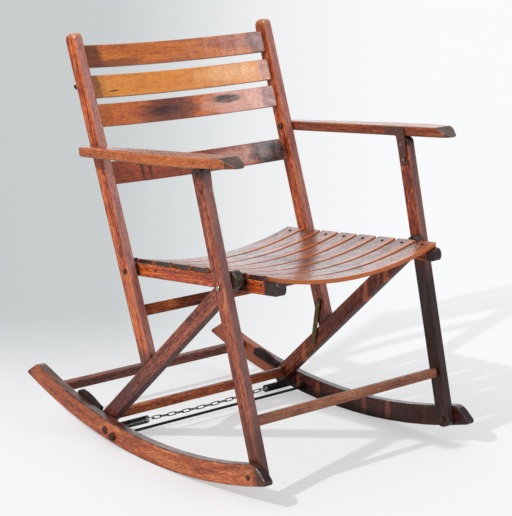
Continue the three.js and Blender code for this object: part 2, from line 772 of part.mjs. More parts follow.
function plateGeometry() {
  const across = square(armAhead);
  const level = along(wristAt, across, legCrown() + gap + armThick * half);
  const corner = (a, b) => along(along(level, armAhead, a), across, b);
  const side = square(legUp);
  const limb = (a, b) => along(along(wristAt, legUp, a), side, b);
  const edge = plateWidth * half;
  const outline = rounded([
    corner(-plateBehind, -edge), limb(plateDrop * half, plateLimb * half), limb(-plateDrop, plateLimb * half),
    limb(-plateDrop, -plateLimb * half), limb(-stopDrop - notchHalf, -plateLimb * half),
    limb(-stopDrop - notchHalf, notchHalf), limb(-stopDrop + notchHalf, notchHalf),
    limb(-stopDrop + notchHalf + notchFlare, -plateLimb * half),
    corner(plateAhead, edge), corner(-plateBehind, edge),
  ], [
    plateRound.small, plateRound.middle, plateRound.large, plateRound.fine, 0, 0, 0, 0,
    plateRound.middle, plateRound.small,
  ]);
  const sheet = plank(outline, plateThick, metalEdge, [hole(wristAt, screwRadius + boltFit)], 1);
  const plate = sideways(sheet, plateFace + plateThick);
  const heads = plateScrews.map((place) => {
    const spot = corner(-place, 0);
    return turnedPiece([...screwTop(plateFace), [plateFace + plateThick * half, screwHead]], placed(spot));
  });
  return joined(plate, ...heads);
}
pair('arm_plate', plateGeometry(), 'steel', 1);
const screwDepth = plateThick + plateGap + board * half;
pair('wrist_screw', screw(wrist, plateFace - gap, screwDepth), 'steel', 1);
const stopAt = along(wristAt, legUp, -stopDrop);
pair('stop_screw', screw(placed(stopAt), plateFace - gap, screwDepth), 'steel', 1);

// ---- latch straps: turn on a screw in the brace; the pin at the free end stops just short of the post ----
const strapFace = Math.min(postInnerAt(latchLow.h), sideInner) - gap - strapThick;

function strapGeometry() {
  const low = at(latchLow);
  const high = at(latchHigh);
  const up = heading(low, high);
  const side = square(up);
  const p = (base, a, b) => along(along(base, up, a), side, b);
  const w = strapWidth * half;
  const outline = rounded([
    p(low, -w, w), p(low, -w, -w), p(high, w, -w), p(high, w, w),
  ], w * strapRoundShare);
  const holes = [hole(low, screwRadius + boltFit), hole(high, screwRadius + boltFit)];
  const sheet = plank(outline, strapThick, metalEdge, holes);
  return sideways(sheet, strapFace + strapThick);
}
pair('latch_strap', strapGeometry(), 'brass', 1);
const pinDepth = strapThick + sideInner - strapFace;
pair('latch_pivot', screw(latchLow, strapFace - gap, pinDepth), 'steel', 1);
pair('latch_pin', screw(latchHigh, strapFace - gap, strapThick + gap), 'steel', 1);

// ---- tie rod with its nuts, through both rockers ----
function rodGeometry() {
  const face = rockerInnerAt(tieRod.f) + board;
  const inner = rockerInnerAt(tieRod.f);
  const end = (x, sign) => [
    [sign * (x + gap + rodNutLength), rodRadius], [sign * (x + gap + rodNutLength), rodNutRadius * 0.8],
    [sign * (x + gap + rodNutLength * half), rodNutRadius], [sign * (x + gap), rodNutRadius],
    [sign * (x + gap), rodRadius], [sign * (inner - gap), rodRadius], [sign * (inner - gap), rodNutRadius],
    [sign * (inner - gap - rodNutLength * half), rodNutRadius],
    [sign * (inner - gap - rodNutLength * half), rodRadius],
  ];
  return turnedPiece([...end(face, -1), ...end(face, 1).reverse()], tieRod);
}
add('tie_rod', rodGeometry(), 'iron', 1);

// ---- eye bolts, springs and chain on one line across the chair ----
const onLine = (x, y, z) => new THREE.Vector3(x, y - anchor.f, z + anchor.h);

function ringPoints(centre, radius, flat, straight = 0, steps = 12) {
  return Array.from({ length: steps }, (_, k) => {
    const a = (2 * Math.PI * (k + half)) / steps;
    const x = centre + radius * Math.cos(a) + Math.sign(Math.cos(a)) * straight * half;
    const side = radius * Math.sin(a);
    return flat ? onLine(x, side, 0) : onLine(x, 0, side);
  });
}

function eyeBolt() {
  const outer = rockerInnerAt(anchor.f) + board;
  const shank = turnedPiece([
    [eyeCentre + eyeRadius, boltRadius * half], [eyeCentre + eyeRadius, boltRadius],
    [outer + gap, boltRadius], ...headSide(outer + gap, headHeight, headRadius).reverse(),
  ], anchor);
  return joined(shank, wire(ringPoints(eyeCentre, eyeRadius, false), eyeWire, true, 6));
}
pair('eye_bolt', eyeBolt(), 'iron', 1);

// outer loop hooks in the eye, inner loop takes the chain
const outerLoop = eyeCentre - eyeRadius + eyeWire + springWire + gap - hookRadius;
const coilLength = springPitch * springCurls;
const lead = springWire * 6;
const coilOuter = outerLoop - hookRadius - lead * half;

function springPath() {
  const path = [];
  const coilInner = coilOuter - coilLength;
  const innerLoop = coilInner - lead * half - loopRadius;
  const loopTurn = (centre, radius, from, to) => {
    for (let k = 0; k <= 9; k += 1) {
      const a = THREE.MathUtils.lerp(from, to, k / 9);
      path.push(onLine(centre + radius * Math.cos(a), radius * Math.sin(a), 0));
    }
  };
  loopTurn(outerLoop, hookRadius, -Math.PI * 0.72, Math.PI * 0.98);
  const steps = springCurls * curlSteps;
  for (let k = 0; k <= steps; k += 1) {
    const a = Math.PI * half + (2 * Math.PI * k) / curlSteps;
    const x = coilOuter - (coilLength * k) / steps;
    path.push(onLine(x, springRadius * Math.cos(a), springRadius * Math.sin(a)));
  }
  loopTurn(innerLoop, loopRadius, Math.PI * 0.02, Math.PI * 1.72);
  return { path, innerLoop };
}
const spring = springPath();
const springGap = selfGap(spring.path, springWire, springRadius * 2);
console.log(`spring least self-gap ${springGap.toFixed(3)} mm`);
pair('spring', wire(spring.path, springWire), 'iron', 1);

// every second link lies flat; the end links hang in the springs' loops
function chainGeometry() {
  const reach = spring.innerLoop - loopRadius + springWire + linkWire + gap;
  const pitch = linkStraight + 2 * linkRadius - 2 * linkWire + linkBite;
  const total = pitch * (linkCount - 1) + linkStraight + 2 * linkRadius;
  const stretch = (2 * reach - total) / linkCount;
  const links = [];
  for (let i = 0; i < linkCount; i += 1) {
    const centre = (i - (linkCount - 1) * half) * (pitch + stretch);
    const ring = ringPoints(centre, linkRadius, i % 2 === 1, linkStraight + stretch);
    ring.forEach((p) => { p.z -= chainSag * (1 - (p.x / reach) ** 2); });
    links.push(wire(ring, linkWire, true));
  }
  return joined(...links);
}
add('link_chain', chainGeometry(), 'iron', 1);

group.position.y = -originAhead;

export default group;
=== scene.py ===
import math
import random

import bmesh
import bpy
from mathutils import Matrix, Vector


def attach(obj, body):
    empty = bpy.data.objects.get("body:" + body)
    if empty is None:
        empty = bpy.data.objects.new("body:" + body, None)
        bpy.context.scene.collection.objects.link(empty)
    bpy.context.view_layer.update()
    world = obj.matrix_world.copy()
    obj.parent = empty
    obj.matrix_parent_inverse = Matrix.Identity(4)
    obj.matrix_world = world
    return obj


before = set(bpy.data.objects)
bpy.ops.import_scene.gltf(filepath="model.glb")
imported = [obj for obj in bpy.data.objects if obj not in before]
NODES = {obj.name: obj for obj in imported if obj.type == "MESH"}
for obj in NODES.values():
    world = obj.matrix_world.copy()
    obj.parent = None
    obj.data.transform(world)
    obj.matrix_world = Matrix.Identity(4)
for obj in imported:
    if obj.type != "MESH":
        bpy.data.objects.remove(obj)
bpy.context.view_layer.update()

SCENE = bpy.context.scene

# places repeated from the solids, as (forward, up) in millimetres, and angles in radians
AHEAD = 7.1  # the drawings' zero lies this far ahead of the origin
KNEE, HIP, WRIST, FOOT = (251.6, 400.0), (-64.7, 372.5), (199.7, 608.4), (347.3, 56.0)
BRACE = ((-160.0, 26.8), (277.0, 426.3))
SLAT_HEIGHT = {1: 790.1, 2: 730.2, 3: 673.9, 4: 561.4}
POST_RAKE, ARM_PITCH = 0.3403, 0.0787


def at(x, f, h):
    """A point from the chair's own measures: x across, f forward and h up, in millimetres."""
    return Vector((x / 1000, -(f + AHEAD) / 1000, h / 1000))


def post_at(x, height):
    """A point on the back post's line at a height, in millimetres."""
    return at(x, HIP[0] - math.tan(POST_RAKE) * (height - HIP[1]), height)


def unit(p, q):
    """The direction from one (forward, up) place to another."""
    return (at(0, *q) - at(0, *p)).normalized()


X, Y, Z = Vector((1, 0, 0)), Vector((0, 1, 0)), Vector((0, 0, 1))
LEG_DIR, BRACE_DIR, RAIL_DIR = unit(FOOT, WRIST), unit(*BRACE), unit(HIP, KNEE)
POST_DIR = Vector((0, math.sin(POST_RAKE), math.cos(POST_RAKE)))
ARM_DIR = Vector((0, -math.cos(ARM_PITCH), math.sin(ARM_PITCH)))
ROCKER_HUB = (at(0, 39, 0).y, 1.2577)  # centre of the rockers' bow, as (y, z) in metres


def rgb(code):
    """A linear colour from six sRGB hex digits."""
    out = []
    for i in (0, 2, 4):
        c = int(code[i:i + 2], 16) / 255
        out.append(c / 12.92 if c <= 0.04045 else ((c + 0.055) / 1.055) ** 2.4)
    return (*out, 1.0)


# node helpers
class Graph:
    """A material with a Principled shader, and short ways to add nodes to it."""

    def __init__(self, name):
        self.mat = bpy.data.materials.new(name)
        self.mat.use_nodes = True
        self.tree = self.mat.node_tree
        self.tree.nodes.clear()
        self.out = self.node("ShaderNodeOutputMaterial")
        self.shader = self.node("ShaderNodeBsdfPrincipled")
        self.tree.links.new(self.shader.outputs[0], self.out.inputs[0])
        self.position = self.node("ShaderNodeTexCoord").outputs["Object"]

    def node(self, kind, **values):
        n = self.tree.nodes.new(kind)
        for key, value in values.items():
            setattr(n, key, value)
        return n

    def plug(self, socket, value):
        if isinstance(value, bpy.types.NodeSocket):
            self.tree.links.new(value, socket)
        else:
            socket.default_value = value

    def feed(self, **values):
        """Plugs the shader's own sockets, named with _ for a space."""
        for key, value in values.items():
            self.plug(self.shader.inputs[key.replace("_", " ")], value)

    def math(self, operation, a, b=0.0, clamp=False):
        n = self.node("ShaderNodeMath", operation=operation, use_clamp=clamp)
        self.plug(n.inputs[0], a)
        self.plug(n.inputs[1], b)
        return n.outputs[0]

    def add(self, a, b, clamp=False):
        return self.math("ADD", a, b, clamp)

    def times(self, a, b):
        return self.math("MULTIPLY", a, b)

    def centred(self, value, gain):
        """A noise's swing about its middle, times gain."""
        return self.times(self.math("SUBTRACT", value, 0.5), gain)

    def vector(self, operation, a, b=(0, 0, 0)):
        n = self.node("ShaderNodeVectorMath", operation=operation)
        self.plug(n.inputs[0], a)
        self.plug(n.inputs[1], b)
        return n.outputs

    def dot(self, direction, vector=None):
        return self.vector("DOT_PRODUCT", vector or self.position, direction)["Value"]

    def noise(self, vector, scale, detail=4.0, rough=0.65, distort=0.0):
        n = self.node("ShaderNodeTexNoise")
        self.plug(n.inputs["Vector"], vector)
        settings = {"Scale": scale, "Detail": detail, "Roughness": rough, "Distortion": distort}
        for key, value in settings.items():
            n.inputs[key].default_value = value
        return n.outputs[0]

    def ramp(self, value, *stops):
        """A colour ramp. A stop is (place, colour), or (place, grey)."""
        n = self.node("ShaderNodeValToRGB")
        elements = n.color_ramp.elements
        while len(elements) < len(stops):
            elements.new(0.5)
        for element, (place, colour) in zip(elements, stops):
            element.position = place
            element.color = colour if isinstance(colour, tuple) else (colour, colour, colour, 1)
        self.plug(n.inputs[0], value)
        return n.outputs[0]

    def remap(self, value, low, high, to_low=0.0, to_high=1.0):
        n = self.node("ShaderNodeMapRange", interpolation_type="SMOOTHSTEP")
        self.plug(n.inputs[0], value)
        for i, v in enumerate((low, high, to_low, to_high)):
            n.inputs[i + 1].default_value = v
        return n.outputs[0]

    def mix(self, factor, a, b, blend="MIX"):
        n = self.node("ShaderNodeMix", data_type="RGBA", blend_type=blend)
        self.plug(n.inputs[0], factor)
        self.plug(n.inputs[6], a)
        self.plug(n.inputs[7], b)
        return n.outputs[2]

    def bump(self, height, strength, distance, under=None):
        n = self.node("ShaderNodeBump")
        n.inputs["Strength"].default_value = strength
        n.inputs["Distance"].default_value = distance
        self.plug(n.inputs["Height"], height)
        if under:
            self.tree.links.new(under, n.inputs["Normal"])
        return n.outputs[0]


# wood

# a noise's repeats per metre along and across the grain, detail, roughness, distortion and seed shift
BROAD = (4.0, 60.0, 4.0, 0.6, 0.3, 0.0)
STREAK = (11.0, 430.0, 5.0, 0.72, 0.2, 5.3)
FIBRE = (70.0, 1000.0, 3.0, 0.7, 0.0, 9.1)
CLOUD = (9.0, 30.0, 7.0, 0.72, 0.4, 17.0)
GRIT = (110.0, 330.0, 3.0, 0.65, 0.0, 3.7)
TONE_PLACES = (0.08, 0.34, 0.60, 0.90)
FIBRE_GAIN, CLOUD_GAIN = 2.1, 0.9
# the dark specks' colour, and the colour, reach in metres and strength of the painted shade in corners and
# creases
SPECK_COLOUR, CREASE_SHADE_COLOUR = "200E0C", "1A0B0A"
CREASE_SHADE_REACH, CREASE_SHADE_STRENGTH = 0.011, 0.85
EDGE_RADIUS = 0.0022
SHEEN_SCALE, WEAR_SCALE, DENT_SCALE = 75.0, 60.0, 26.0


def wood(name, seed, tones, along, rough=0.30, coat=0.5, stain=0.45, wear=0.8, figure=1.0, grain=1.4,
         speck=0.6, stain_colour="2E1214", zones=(), spots=(), faces=(), hub=None):
    """Old varnished wood. tones run from the darkest to the brightest; along is the grain's direction.
    zones are (direction, from, to, colour, strength), spots (centre, half sizes, colour, strength)
    and faces (direction, colour, strength) for the sides that look that way. With a hub, (y, z) of a
    circle's centre, the grain follows the circle. figure and grain are the strengths of the pattern."""
    g = Graph(name)
    along = Vector(along).normalized()
    flat = along.cross(X if abs(along.x) < 0.9 else Y).normalized()
    side = flat.cross(along).normalized()
    length, depth = g.dot(along), g.dot(flat)
    if hub:
        y, z = g.math("SUBTRACT", g.dot(Y), hub[0]), g.math("SUBTRACT", hub[1], g.dot(Z))
        depth = g.math("SQRT", g.add(g.times(y, y), g.times(z, z)))
        length = g.times(g.math("ARCTAN2", y, z), hub[1])

    def pattern(lengthwise, across, detail, roughness, distortion, shift):
        n = g.node("ShaderNodeCombineXYZ")
        g.plug(n.inputs[0], g.add(g.times(length, lengthwise), seed + shift))
        g.plug(n.inputs[1], g.times(g.dot(side), across))
        g.plug(n.inputs[2], g.times(depth, across))
        return g.noise(n.outputs[0], 1.0, detail, roughness, distortion)

    broad, streak, fibre, cloud, grit = (pattern(*p) for p in (BROAD, STREAK, FIBRE, CLOUD, GRIT))
    tone = g.add(g.centred(broad, figure), g.centred(streak, grain * figure))
    tone = g.add(tone, g.centred(fibre, FIBRE_GAIN * figure))
    tone = g.add(g.add(tone, g.centred(cloud, CLOUD_GAIN)), 0.5)
    colour = g.ramp(tone, *((place, rgb(code)) for place, code in zip(TONE_PLACES, tones)))
    colour = g.mix(g.remap(cloud, 0.53, 0.64, 0.0, stain), colour, rgb(stain_colour))

    geometry = g.node("ShaderNodeNewGeometry")
    ragged = g.add(g.centred(cloud, 1.2), g.centred(streak, 0.9))
    for direction, tint, strength in faces:
        looks = g.remap(g.dot(direction, geometry.outputs["Normal"]), 0.35, 0.75)
        patchy = g.remap(g.add(ragged, 0.5), 0.25, 0.6, 0.55 * strength, strength)
        colour = g.mix(g.times(looks, patchy), colour, rgb(tint))
    for centre, sizes, tint, strength in spots:
        away = g.vector("LENGTH", g.vector("DIVIDE", g.vector("SUBTRACT", g.position, centre)[0], sizes)[0])
        rim = g.add(away["Value"], g.times(ragged, 1.5))
        cover = g.times(g.remap(rim, 1.25, 0.72, 0.0, strength), g.remap(cloud, 0.34, 0.56, 0.62, 1.0))
        colour = g.mix(cover, colour, rgb(tint))
    colour = g.mix(g.remap(grit, 0.58, 0.66, 0.0, speck), colour, rgb(SPECK_COLOUR))

    # painted shade in the corners and creases, and worn edges where the rounded normal leaves the face's
    corner = g.node("ShaderNodeAmbientOcclusion", samples=5)
    corner.inputs["Distance"].default_value = CREASE_SHADE_REACH
    crease_shade = g.remap(corner.outputs["AO"], 0.80, 0.35, 0.0, CREASE_SHADE_STRENGTH)
    colour = g.mix(crease_shade, colour, rgb(CREASE_SHADE_COLOUR))
    soft = g.node("ShaderNodeBevel", samples=4)
    soft.inputs["Radius"].default_value = EDGE_RADIUS
    edge = g.remap(g.dot(geometry.outputs["True Normal"], soft.outputs[0]), 0.985, 0.88)
    worn = g.remap(g.noise(g.position, WEAR_SCALE), 0.40, 0.56)
    colour = g.mix(g.times(g.times(edge, worn), wear), colour, rgb(tones[-1]))
    for direction, low, high, tint, strength in zones:
        place = g.add(g.dot(direction), g.times(ragged, abs(high - low) * 1.4))
        colour = g.mix(g.remap(place, low, high, 0.0, strength), colour, rgb(tint))

    sheen = g.noise(g.position, SHEEN_SCALE)
    low = g.bump(g.noise(g.position, DENT_SCALE, rough=0.6), 0.22, 0.004, soft.outputs[0])
    normal = g.bump(grit, 0.30, 0.0005, g.bump(streak, 0.20, 0.0012, low))
    g.feed(Base_Color=colour,
           Roughness=g.add(g.add(g.centred(sheen, 0.5), g.centred(grit, 0.35)), rough, clamp=True),
           Coat_Weight=g.remap(cloud, 0.42, 0.58, coat, 0.35 * coat),
           Coat_Roughness=g.add(g.centred(sheen, 0.5), 0.20, clamp=True),
           Normal=normal, Coat_Normal=normal)
    return g.mat


# metal
END_START, END_FULL = 0.262, 0.268  # metres to either side, where a piece's ends change colour


def metal(name, base, rust, rough, metallic, rusty, scale, ends=None):
    """Worn metal with rusty patches; ends are the two colours of a piece's outer ends."""
    g = Graph(name)
    patches = g.noise(g.position, scale, 6.0)
    fine = g.noise(g.position, scale * 6, 3.0, 0.6)
    spotted = g.remap(patches, 0.46, 0.60, 0.0, rusty)
    colour = g.mix(spotted, rgb(base), rgb(rust))
    if ends:
        out = g.remap(g.math("ABSOLUTE", g.dot(X)), END_START, END_FULL)
        colour = g.mix(out, colour, g.mix(spotted, rgb(ends[0]), rgb(ends[1])))
    g.feed(Base_Color=g.mix(g.remap(fine, 0.35, 0.65, 0.0, 0.35), colour, rgb("0E0C0B")),
           Roughness=g.add(g.times(spotted, 0.4), rough),
           Metallic=g.math("SUBTRACT", metallic, g.times(spotted, 0.6), clamp=True),
           Normal=g.bump(g.add(fine, patches), 0.35, 0.0006))
    return g.mat


RUSTY = ("4A342C", "6A402C")
BLACK = metal("black_iron_worn", "1C1A19", "33241D", 0.48, 0.6, 0.5, 160.0)
ROD = metal("black_rod_rusty_nuts", "1C1A19", "33241D", 0.5, 0.5, 0.6, 240.0, RUSTY)
LUMP = metal("rusted_iron_heads", *RUSTY, 0.60, 0.4, 0.8, 240.0)
PLATE = metal("rusty_plate_iron", "765048", "7C4632", 0.42, 0.45, 0.7, 170.0)
HEAD = metal("rubbed_screw_heads", "9A827A", "6A4A40", 0.40, 0.5, 0.4, 300.0)
STUD = metal("brown_rivet_steel", "7A563C", "4A2A1C", 0.38, 0.8, 0.6, 300.0)
BRIGHT = metal("rubbed_steel", "D8CFBE", "7A6450", 0.28, 1.0, 0.35, 300.0)
STRAP = metal("dull_brass_worn", "A08C58", "4F4730", 0.40, 0.9, 0.6, 220.0)

# the woods' tones, each from the darkest to the brightest
POST = ("260A0A", "802810", "CC521C", "FAA05A")
LEG = ("20090A", "6A200E", "A8461E", "E08C58")
NEAR_BRACE, FAR_BRACE = ("1A080C", "4C1612", "883620", "C87850"), ("1E080A", "5A1A10", "A0401E", "DA8450")
# the far rocker's tones are the same wood as the near one's, in painted shade
NEAR_ROCKER, SHADED_FAR_ROCKER = ("3A1209", "943C16", "CE662E", "F6AC78"), ("120709", "34130F", "662E1E", "9A543A")
ARM = ("260C0A", "722A16", "B45426", "EEA05E")
SEAT = ("241018", "623038", "9C563E", "DC9468")
BAR, DARK_BAR = ("2A0E0C", "7A2C12", "BA5624", "EC9850"), ("1C0A0B", "501E16", "8A3E22", "C07848")
PALE_BAR = ("402014", "84482E", "AE6C48", "DCA07A")
RAIL = ("300C0A", "8E2E12", "D85A22", "FA9E50")
CROSS, CLEAT = ("22100C", "4A2418", "70392A", "945038"), ("0C0707", "1E110E", "33201A", "503428")
SLATS = {
    1: ("702C14", "B8561C", "DC7A2C", "F09A48"),
    2: ("A44E18", "DE7E28", "F49C40", "FFB664"),
    3: ("702A16", "BC5620", "DC7632", "F29C58"),
    4: ("3C1210", "7E2E16", "AC4A1E", "D07840"),
}
# the pink colour is a painted highlight
# the undersides' colour is painted shade, also used on the legs' tops under the arms
STAIN, PINK_HIGHLIGHT, UNDERSIDE_SHADE, DARK_END = "35141C", "E2A898", "1E0E0C", "241010"

# stains and painted highlights on the back slats, in millimetres: x across, height within the slat, half
# sizes, colour, strength; the pink and cream spots are the painted highlights
SLAT_STAINS_AND_HIGHLIGHTS = {
    1: [(-226, 0, 34, 80, "4A1C14", 0.7), (-150, -18, 60, 9, STAIN, 0.55), (170, 4, 110, 16, "8C4440", 0.6),
        (40, 16, 60, 6, "8A4630", 0.5), (222, 0, 24, 40, "5A222C", 0.75)],
    2: [(-226, 0, 14, 60, "7A3A20", 0.7), (-178, -12, 18, 1.6, "2A120E", 0.95),
        (130, 0, 80, 16, "FFCE94", 0.4), (228, 0, 14, 40, "8A464A", 0.75)],
    3: [(-40, 0, 78, 40, "54242A", 0.85), (-50, -6, 40, 11, "2C1018", 0.75), (-70, 6, 20, 6, "8A4226", 0.6),
        (150, 0, 100, 40, PINK_HIGHLIGHT, 0.85), (112, 4, 40, 9, "32101E", 0.95), (222, 0, 16, 40, "6A2C38", 0.7)],
    4: [(-150, 0, 4.5, 22, STAIN, 0.85), (-128, 0, 4.5, 22, STAIN, 0.75), (-60, 6, 40, 14, STAIN, 0.5),
        (120, -4, 70, 18, PINK_HIGHLIGHT, 0.5), (192, 0, 44, 34, "1E0A14", 1.0), (150, -8, 16, 8, STAIN, 0.7)],
}
SLAT_SPOT_DEPTH = 0.060  # metres
# light that falls between the seat's slats, as (forward, up) and half width, in millimetres
ROCKER_LIGHTS = ((-108.8, 17, 6), (-45.4, 15.5, 9), (100.2, 20.6, 7), (172, 32.3, 7))
BRACE_LIGHTS = ((186, 333.9), (126.4, 284.2), (-65.4, 91.1))
ROCKER_LIGHT_X, BRACE_LIGHT_X = 262, 222


def beyond(direction, start, full, tint, strength):
    """A zone that sets in at one point and is full at the next along a direction."""
    return direction, start.dot(direction), full.dot(direction), tint, strength


# what each kind of wooden piece is given, by node and side
def rocker_look(node, right):
    zones = [(Y, 0.375, 0.405, DARK_END, 0.75), (-Y, 0.365, 0.385, DARK_END, 0.85)]
    lights = []
    if not right:
        zones = [(Y, 0.165, 0.200, "B05A30", 0.7)] + zones + [(-Z, -0.030, -0.010, "1E0E0E", 0.8)]
        lights = [(at(ROCKER_LIGHT_X, f, h), (0.040, wide / 1000, 0.030), "D66C44", 0.75)
                  for f, h, wide in ROCKER_LIGHTS]
    return dict(tones=NEAR_ROCKER if right else SHADED_FAR_ROCKER, along=Y, rough=0.34, stain=0.4, figure=0.8,
                grain=1.1, stain_colour="501C16", zones=zones, spots=lights, hub=ROCKER_HUB,
                faces=[(Z, "2A1A1E", 0.95), (-Y, "2A1412", 0.7)])


def cleat_look(node, right):
    return dict(tones=CLEAT, along=Y, rough=0.8, coat=0.0, stain=0.4, wear=0.2)


def leg_look(node, right):
    foot = (-Z, -0.20, -0.10, "3A1A18", 0.65) if right else (-Z, -0.40, -0.34, "160C0E", 0.88)
    # the front faces' greyish pink tint is a painted sheen
    # the leg's top under the arm is painted shade
    return dict(tones=LEG, along=LEG_DIR, rough=0.32, stain=0.5, faces=[(-Y, "86605E", 0.75)],
                zones=[(Z, 0.600, 0.616, UNDERSIDE_SHADE, 0.85), foot])


def brace_look(node, right):
    zones = [beyond(-BRACE_DIR, at(0, -135, 50), at(0, -150, 34), "1C0E0C", 0.8),
             beyond(BRACE_DIR, at(0, 256, 403), at(0, 264, 411), "352A22", 0.95)]
    lights = []
    if right:
        zones.append(beyond(-BRACE_DIR, at(0, 40, 230), at(0, -60, 130), "4A1E1A", 0.5))
    else:
        lights = [(at(BRACE_LIGHT_X, f, h), (0.060, 0.007, 0.050), "F0804C", 0.85) for f, h in BRACE_LIGHTS]
    # the brace's underside is painted shade
    return dict(tones=NEAR_BRACE if right else FAR_BRACE, along=BRACE_DIR, rough=0.40, coat=0.4,
                stain=0.75 if right else 0.5, stain_colour="32141C", zones=zones, spots=lights,
                faces=[(-Z, UNDERSIDE_SHADE, 0.7)])


def post_look(node, right):
    # the front faces' pale pink tint is a painted sheen, and the pale band at the posts' tops a painted
    # highlight
    return dict(tones=POST, along=POST_DIR, coat=0.55, grain=1.8, faces=[(-Y, "B07C78", 0.62)],
                zones=[(-Z, -0.235, -0.19, "2A100E", 0.75), (Z, 0.826, 0.838, "E0A878", 0.5)])


def back_slat_look(node, right):
    k = int(node.name[-1])
    spots = [(post_at(x, SLAT_HEIGHT[k] + up), (wide / 1000, SLAT_SPOT_DEPTH, tall / 1000), tint, strength)
             for x, up, wide, tall, tint, strength in SLAT_STAINS_AND_HIGHLIGHTS[k]]
    # the slat's underside is painted shade
    return dict(tones=SLATS[k], along=X, rough=0.24, coat=1.0, stain=0.12 if k == 2 else 0.30, wear=0.6,
                figure=0.55, speck=0.35 if k < 3 else 0.6, stain_colour="5A2A2C", spots=spots,
                faces=[(-Z, "2A0E0C", 0.8)])


def bar_look(node, right):
    return dict(tones=DARK_BAR if node.name.startswith("rear") else BAR, along=X, rough=0.38, coat=0.35,
                stain=0.4, wear=0.7, zones=[(X, 0.10, 0.25, "3A1612", 0.6)])


def pale_bar_look(node, right):
    return dict(tones=PALE_BAR, along=X, rough=0.42, coat=0.3, stain=0.3, wear=0.6, figure=0.6)


def rail_look(node, right):
    return dict(tones=RAIL, along=RAIL_DIR, rough=0.34, coat=0.45, stain=0.55,
                zones=[(-Y, 0.328, 0.338, "171112", 0.95)],
                spots=[(at(-226, 255, 408), (0.03, 0.030, 0.030), "240F10", 0.9)])


def cross_look(node, right):
    return dict(tones=CROSS, along=X, rough=0.5, coat=0.1, stain=0.3, wear=0.5)


def seat_slat_look(node, right):
    across = [(node.matrix_world @ v.co).y for v in node.data.vertices]
    front, rear = min(across), max(across)
    # the dark band at each slat's rear edge is painted shade beside the gap
    return dict(tones=SEAT, along=X, rough=0.26, coat=0.8, stain=0.6, wear=0.9, figure=1.1, grain=1.8,
                speck=0.3, stain_colour="42303E", faces=[(-Y, "E0843C", 0.85), (-X, "3A1A16", 0.9)],
                zones=[(Y, rear - 0.009, rear - 0.003, "200E10", 0.8),
                       (-Y, -front - 0.014, -front - 0.008, "CC6A2C", 0.85),
                       (-X, 0.220, 0.228, "2A1412", 0.9)])


def arm_look(node, right):
    back = at(0, -160, 0).y
    # the arm's underside is painted shade
    # the near arm's outer side is tinted with painted light, the far arm's inner side with painted shade
    return dict(tones=ARM, along=ARM_DIR, rough=0.28, coat=0.6, stain=0.4, grain=1.9,
                zones=[(Y, back - 0.004, back + 0.008, "2A1612", 0.8)],
                faces=[(-Z, UNDERSIDE_SHADE, 0.7), (-X, "C8682C" if right else "7A3624", 0.6),
                       (Vector((0, -1.3, 0.3)), "30231A", 0.95)])


# the first name that a node starts with gives its look, and black iron is for the rest
LOOKS = (
    ("rocker", rocker_look), ("foot_cleat", cleat_look), ("front_leg", leg_look), ("brace", brace_look),
    ("back_post", post_look), ("back_slat", back_slat_look), ("rear_stretcher", bar_look),
    ("foot_stretcher", bar_look), ("back_stretcher", bar_look), ("front_stretcher", pale_bar_look),
    ("seat_rail", rail_look), ("seat_cross", cross_look), ("seat_slat", seat_slat_look),
    ("arm_plate", PLATE), ("wrist_screw", HEAD), ("stop_screw", HEAD), ("latch_pivot", HEAD),
    ("latch_pin", HEAD), ("arm_", arm_look), ("latch_strap", STRAP), ("knee_bolt", BRIGHT), ("tie_rod", ROD),
    ("elbow_stud", STUD), ("hip_bolt", LUMP), ("foot_bolt", LUMP), ("eye_bolt", LUMP), ("", BLACK),
)
SHARP = math.radians(24)
seeds = random.Random(7)
for name, node in NODES.items():
    seed = seeds.uniform(0, 90)
    look = next(value for start, value in LOOKS if name.startswith(start))
    if callable(look):
        look = wood(name + "_wood", seed, **look(node, name.endswith("right")))
    node.data.materials.clear()
    node.data.materials.append(look)
    node.data.shade_smooth()
    node.modifiers.new("sharp_edges", "EDGE_SPLIT").split_angle = SHARP

# screws that the solids leave out, in metres
SLAT_HEAD, RAIL_HEAD, PLUG = 0.0038, 0.0030, 0.0046  # radii
HEAD_RISE, PLUG_RISE = 0.0014, 0.0007
HEAD_TAPER, HEAD_PROUD = 0.8, 0.35
SLAT_SCREW_AT = 0.2095
SCREWED_SLATS = (1, 3, 4, 5, 6, 7, 8)
ABOVE_SLATS = 0.6  # the rays that find the slats' tops start here
BESIDE_HOLE = LEG_DIR * 0.010

# the screws' places in millimetres, and a start for rays that is clear of the chair's sides
LEG_SCREWS = (WRIST, (WRIST[0] + 8.3, WRIST[1] - 31))
RAIL_SCREWS = ((-3, 380), (318, 410), (283, 405))
BEYOND_SIDES = 400


def placed(name, data):
    """A new object of the data, in the scene."""
    o = bpy.data.objects.new(name, data)
    SCENE.collection.objects.link(o)
    return o


def face(o, direction):
    """Turns an object's own Z to a direction."""
    o.rotation_mode = "QUATERNION"
    o.rotation_quaternion = direction.to_track_quat("Z", "Y")


def screw_head(name, start, direction, body, radius, material=LUMP, rise=HEAD_RISE, shift=Vector()):
    """A low round head on the face of the named node that a ray from start meets, set back by shift."""
    hit, place, normal, _ = NODES[name].ray_cast(start, direction)
    if not hit:
        raise RuntimeError(name + " has no face for its screw")
    mesh = bpy.data.meshes.new(name + "_screw")
    build = bmesh.new()
    bmesh.ops.create_cone(build, cap_ends=True, segments=16, radius1=radius, radius2=radius * HEAD_TAPER,
                          depth=rise)
    build.to_mesh(mesh)
    build.free()
    piece = placed(mesh.name, mesh)
    piece.location = place - shift + normal * rise * HEAD_PROUD
    face(piece, normal)
    mesh.materials.append(material)
    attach(piece, body)


